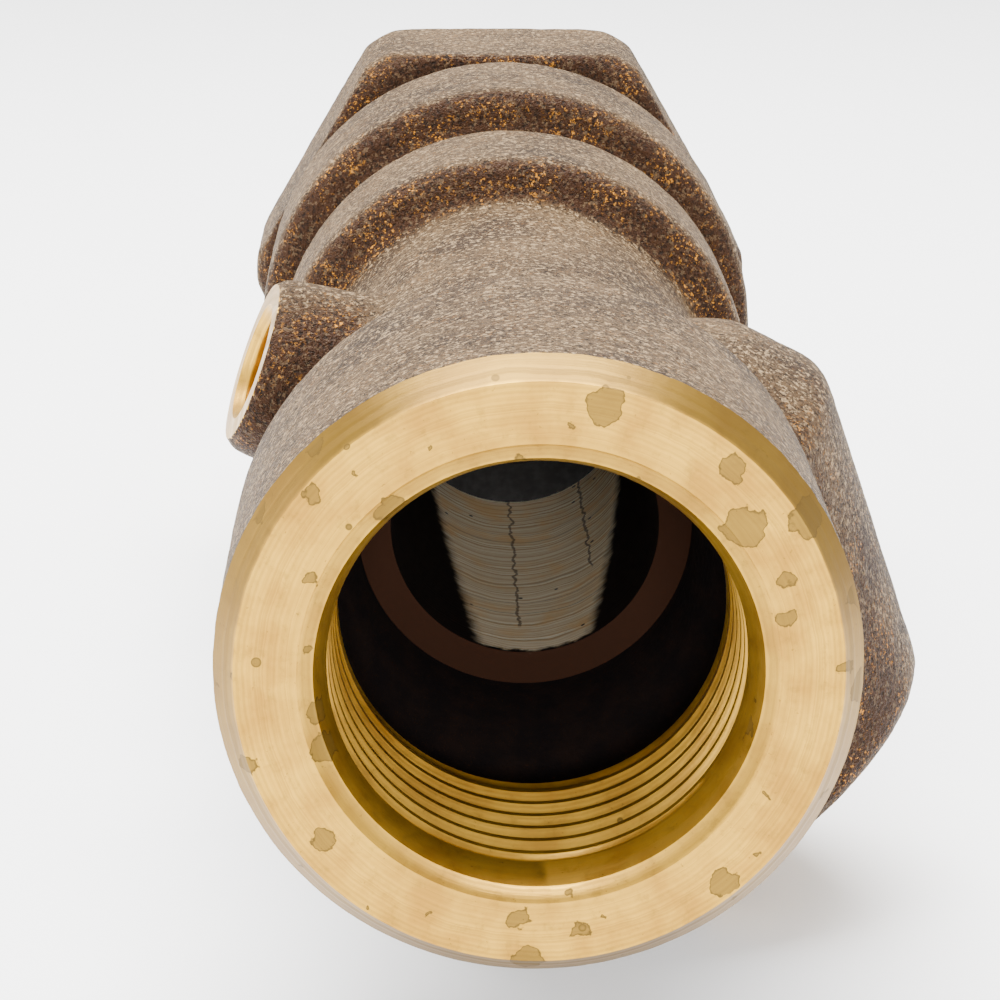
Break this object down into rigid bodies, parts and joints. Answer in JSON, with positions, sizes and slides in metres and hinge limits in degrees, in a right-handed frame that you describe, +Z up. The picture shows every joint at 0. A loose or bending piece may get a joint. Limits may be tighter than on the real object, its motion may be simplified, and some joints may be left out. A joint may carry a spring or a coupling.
{
  "type": "pressure relief valve",
  "caption": "Spring-loaded pressure relief valve with a cast bronze body, threaded inlet and side outlet, gauge boss, and a closed bonnet with an adjusting screw.",
  "frame": {"origin": "centre of the machined inlet face, on the main axis", "axes": "+Y along the main axis from the inlet to the cap, +Z up across the level flats of the bonnet's hexagon, +X to the outlet's side"},
  "size_m": [0.0588, 0.1813, 0.0582],
  "materials": {
    "cast_bronze": "as cast, sand grained",
    "machined_bronze": "turned",
    "steel": "turned",
    "spring_steel": "drawn wire",
    "rubber": "matte",
    "guide_plastic": "matte",
    "fibre": "pressed fibre"
  },
  "bodies": {
    "body": {"valve_body": "cast_bronze", "nozzle": "machined_bronze", "nozzle_o_ring": "rubber", "bonnet": "cast_bronze", "bonnet_gasket": "fibre", "lift_stop_ring": "steel", "spring": "spring_steel"},
    "disc": {"disc_holder": "machined_bronze", "seat_disc": "rubber", "disc_washer": "steel", "disc_screw": "steel", "piston_o_ring": "rubber", "guide_band": "guide_plastic", "guide_stem": "steel", "stem_clip": "steel", "lower_spring_button": "steel"},
    "upper_button": {"upper_spring_button": "steel", "thrust_ball": "steel"},
    "adjusting_screw": {"adjusting_screw": "machined_bronze"},
    "lock_washer": {"lock_washer": "steel"},
    "lock_nut": {"lock_nut": "machined_bronze"},
    "cap_gasket": {"cap_gasket": "fibre"},
    "cap": {"cap": "machined_bronze"}
  },
  "joints": [
    {"name": "disc_lift", "type": "slide", "parent": "body", "child": "disc", "axis": [0, 1, 0], "range_m": [0, 0.005], "stiffness_N_per_m": 12000, "springref_m": -0.0065, "deforming": ["spring"]},
    {"name": "button_travel", "type": "slide", "parent": "body", "child": "upper_button", "axis": [0, 1, 0], "range_m": [-0.002, 0.003], "deforming": ["spring"]},
    {"name": "screw_turn", "type": "hinge", "parent": "upper_button", "child": "adjusting_screw", "pos_m": [0, 0.155, 0], "axis": [0, 1, 0], "range_deg": [-361, 541]},
    {"name": "nut_travel", "type": "slide", "parent": "body", "child": "lock_washer", "axis": [0, 1, 0], "range_m": [0, 0.003]},
    {"name": "nut_turn", "type": "hinge", "parent": "lock_washer", "child": "lock_nut", "pos_m": [0, 0.162, 0], "axis": [0, 1, 0], "range_deg": [-1, 541]},
    {"name": "cap_travel", "type": "slide", "parent": "body", "child": "cap_gasket", "axis": [0, 1, 0], "range_m": [0, 0.0075]},
    {"name": "cap_turn", "type": "hinge", "parent": "cap_gasket", "child": "cap", "pos_m": [0, 0.165, 0], "axis": [0, 1, 0], "range_deg": [-1, 1801]}
  ],
  "couplings": [
    {"joint": "screw_turn", "follows": "button_travel", "rad_per_m": 3141.6},
    {"joint": "nut_turn", "follows": "nut_travel", "rad_per_m": 3141.6},
    {"joint": "cap_turn", "follows": "cap_travel", "rad_per_m": 4188.8}
  ]
}
